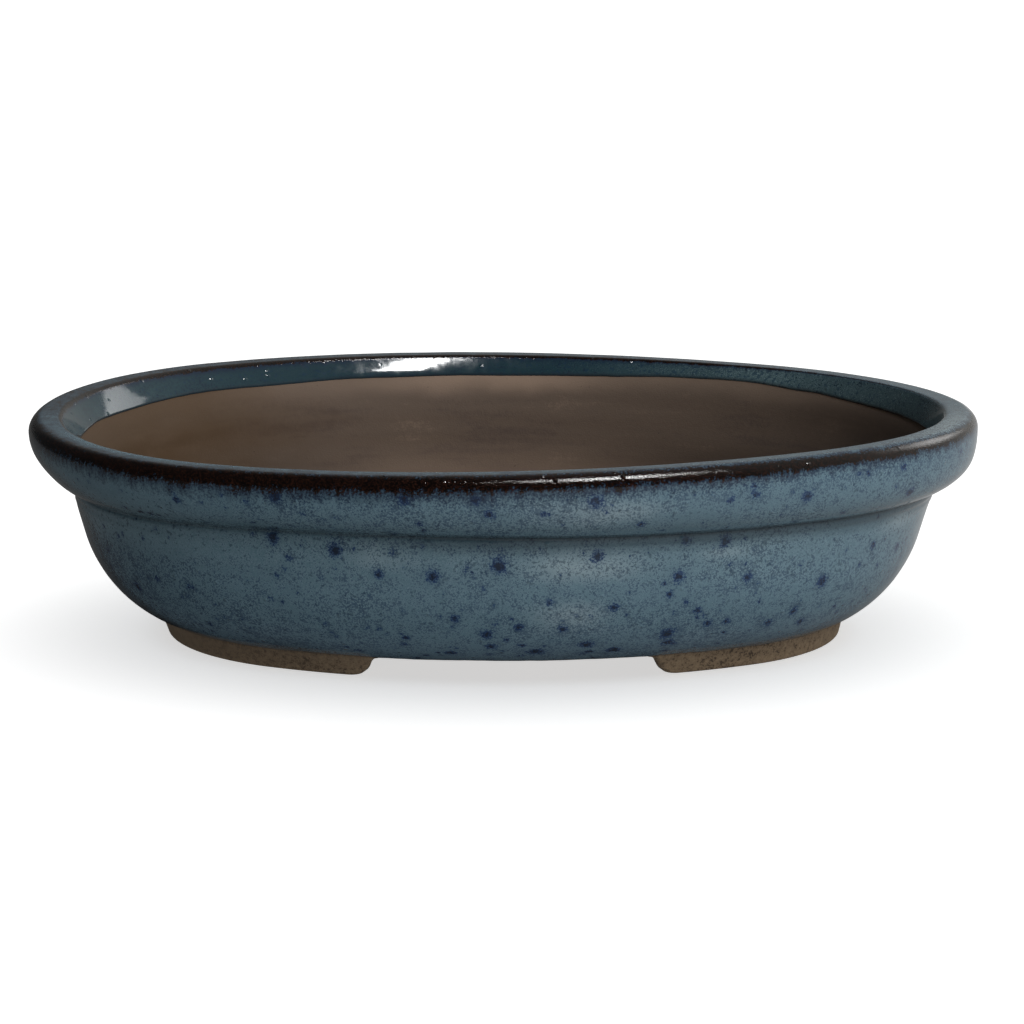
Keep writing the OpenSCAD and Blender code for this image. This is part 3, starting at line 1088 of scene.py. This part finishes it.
def build_pot():
    """Every piece, with its material, in place of its CAD node."""
    blue, lip = glaze("blue_glaze"), glaze("lip_glaze")
    stoneware = clay("stoneware", grain=0.45, light=screen(126, 106, 90), middle=screen(81, 67, 56),
                     dark=screen(67, 54, 47), toasted=screen(64, 44, 18), speck_and_shade=screen(36, 28, 22))
    foot_clay = clay("foot_clay", grain=2.4, light=screen(140, 121, 96), middle=screen(108, 92, 73),
                     dark=screen(60, 49, 39), toasted=screen(122, 103, 80), speck_and_shade=screen(38, 29, 23))
    pieces = [
        (make_slab_clay(stoneware), "floor_slab", "stoneware"),
        (make_wall_clay(stoneware), "bowl_wall", "stoneware"),
        (make_rim_clay(stoneware), "rim_band", "stoneware"),
        (make_foot("foot_left_clay", -1, foot_clay), "foot_left", "foot_clay"),
        (make_foot("foot_right_clay", 1, foot_clay), "foot_right", "foot_clay"),
        (make_wall_coat(blue), "wall_glaze", "blue_glaze"),
        (make_band_coat(blue), "band_glaze", "blue_glaze"),
        (make_lip_coat(lip), "lip_glaze", "lip_glaze"),
    ]
    for piece, node, slot in pieces:
        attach(piece, "root")
        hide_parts(node)


# ------------ studio

# In metres. The gap keeps the floor clear of the undersides of the feet
FLOOR_HALF = 30.0
FLOOR_GAP = 0.00005
FLOOR_FADE = (-0.12, 0.08)
# As the camera sees the floor
FLOOR_WHITE = 0.8
FLOOR_GLOW = 0.6
# As the pot sees it, at the left and at the right: the light it throws, and its shade in the gloss
FLOOR_BOUNCE = (0.39, 0.365)
FLOOR_SHEEN = (0.12, 0.6)
WORLD_DIM = (0.022, 0.025, 0.027)
WORLD_BRIGHT = (0.42, 0.42, 0.4)
WORLD_FADE = (0.1, 1.0)
WHITE = (1, 1, 1)
BRIGHT_SIDE = Vector((0.86, 0.44, 0.2)).normalized()


def from_view(azimuth, elevation):
    """Direction towards a light: azimuth 0 is the front (-Y) and 90 the right (+X), in degrees."""
    a, e = math.radians(azimuth), math.radians(elevation)
    return Vector((math.sin(a) * math.cos(e), -math.cos(a) * math.cos(e), math.sin(e)))


def add_light(name, kind, towards, distance, energy, **settings):
    """A lamp that shines from a direction; the distance is in metres."""
    data = bpy.data.lights.new(name, kind)
    data.energy = energy
    for key, value in settings.items():
        setattr(data, key, value)
    lamp = bpy.data.objects.new(name, data)
    lamp.location = towards * distance
    lamp.rotation_euler = towards.to_track_quat("Z", "Y").to_euler()
    bpy.context.scene.collection.objects.link(lamp)
    return lamp


def build_floor():
    """A plain pale floor. The camera sees it lit and white, and the pot sees it dimmer."""
    square = ((-1, -1), (1, -1), (1, 1), (-1, 1))
    corners = [(x * FLOOR_HALF, y * FLOOR_HALF, -FLOOR_GAP) for x, y in square]
    mesh = bpy.data.meshes.new("floor")
    mesh.from_pydata(corners, [], [(0, 1, 2, 3)])
    floor = bpy.data.objects.new("floor", mesh)
    bpy.context.scene.collection.objects.link(floor)
    g = Graph(bpy.data.materials.new("floor_white"))
    lit = g.node("ShaderNodeBsdfDiffuse", {"Color": (FLOOR_WHITE,) * 3 + (1,)}).outputs[0]
    glow = g.node("ShaderNodeEmission", {"Strength": FLOOR_GLOW}).outputs[0]
    seen = g.node("ShaderNodeAddShader", {0: lit, 1: glow}).outputs[0]
    across = g.axes(g.node("ShaderNodeNewGeometry").outputs["Position"])[0]
    share = g.step(across, *FLOOR_FADE)
    sheen = g.mix(share, *((level,) * 3 for level in FLOOR_SHEEN))
    mirrored = g.node("ShaderNodeBsdfDiffuse", {"Color": sheen}).outputs[0]
    left, right = FLOOR_BOUNCE
    strength = g.total((share, right - left), (left, 1))
    bounced = g.node("ShaderNodeEmission", {"Strength": strength}).outputs[0]
    path = g.node("ShaderNodeLightPath").outputs
    thrown = {0: path["Is Diffuse Ray"], 1: mirrored, 2: bounced}
    thrown = g.node("ShaderNodeMixShader", thrown).outputs[0]
    surface = {0: path["Is Camera Ray"], 1: thrown, 2: seen}
    surface = g.node("ShaderNodeMixShader", surface).outputs[0]
    g.node("ShaderNodeOutputMaterial", {"Surface": surface})
    mesh.materials.append(g.owner)


def build_world():
    """A dim room that is bright on its right-hand side; the camera sees it white."""
    world = bpy.data.worlds.new("studio")
    bpy.context.scene.world = world
    g = Graph(world)
    ways = {0: g.node("ShaderNodeTexCoord").outputs["Generated"], 1: BRIGHT_SIDE}
    facing = g.node("ShaderNodeVectorMath", ways, operation="DOT_PRODUCT").outputs["Value"]
    room = g.mix(g.step(facing, *WORLD_FADE), WORLD_DIM, WORLD_BRIGHT)
    seen = g.mix(g.node("ShaderNodeLightPath").outputs["Is Camera Ray"], room, WHITE)
    back = g.node("ShaderNodeBackground", {"Color": seen}).outputs[0]
    g.node("ShaderNodeOutputWorld", {"Surface": back})


def build_lights():
    """Four lamps that light the pot alone, and a sun overhead that lights the floor alone."""
    pot, floor = bpy.data.collections.new("pot"), bpy.data.collections.new("floor")
    for piece in bpy.context.scene.collection.objects:
        if piece.type == "MESH":
            (floor if piece.name == "floor" else pot).objects.link(piece)
    front = add_light("soft_front", "SUN", from_view(38, 32), distance=1.5, energy=2.5,
                      angle=math.radians(55))
    ceiling = add_light("ceiling", "SUN", from_view(0, 86), distance=1.5, energy=0.36,
                        angle=math.radians(80))
    strip = add_light("strip", "AREA", from_view(32, 66), distance=4.0, energy=78,
                      shape="RECTANGLE", size=0.36, size_y=0.95)
    window = add_light("far_window", "AREA", from_view(127, 28), distance=1.6, energy=2.4,
                       shape="RECTANGLE", size=0.6, size_y=0.5)
    for lamp in (front, ceiling):
        lamp.visible_glossy = False
    strip.visible_diffuse = False
    for lamp in (front, ceiling, strip, window):
        lamp.light_linking.receiver_collection = pot
    overhead = add_light("overhead", "SUN", Vector((0, 0, 1)), distance=1.5, energy=2.0,
                         angle=math.radians(100))
    overhead.light_linking.receiver_collection = floor


# In degrees and millimetres; the aim is given from the middle of the lip
VIEW_ELEVATION = 10.42
VIEW_AZIMUTH = -2.94
VIEW_ROLL = 0.41
VIEW_DISTANCE = 1200
SENSOR = 36
LENS = 153.75
CLIP_START, CLIP_END = 0.05, 100  # in metres
AIM_RIGHT = 2.2
AIM_DOWN = 29.0


def build_camera():
    """A long lens from just above the rim, aimed a little below the middle of the lip."""
    back = from_view(VIEW_AZIMUTH, VIEW_ELEVATION)
    lip = Vector((0, 0, POT_H))
    place = lip + back * VIEW_DISTANCE
    level = Vector((0, 0, 1)).cross(back).normalized()
    roll = Matrix.Rotation(math.radians(VIEW_ROLL), 3, back)
    right, up = roll @ level, roll @ back.cross(level)
    back = (place - (lip + right * AIM_RIGHT - up * AIM_DOWN)).normalized()
    right = (right - back * right.dot(back)).normalized()
    data = bpy.data.cameras.new("camera")
    data.sensor_width, data.lens = SENSOR, LENS
    data.clip_start, data.clip_end = CLIP_START, CLIP_END
    camera = bpy.data.objects.new("camera", data)
    turn = Matrix((right, back.cross(right), back)).transposed().to_4x4()
    camera.matrix_world = Matrix.Translation(place * MM) @ turn
    bpy.context.scene.collection.objects.link(camera)
    bpy.context.scene.camera = camera


bpy.context.scene.view_settings.view_transform = "Standard"
build_camera()
build_floor()
build_world()
build_pot()
build_lights()
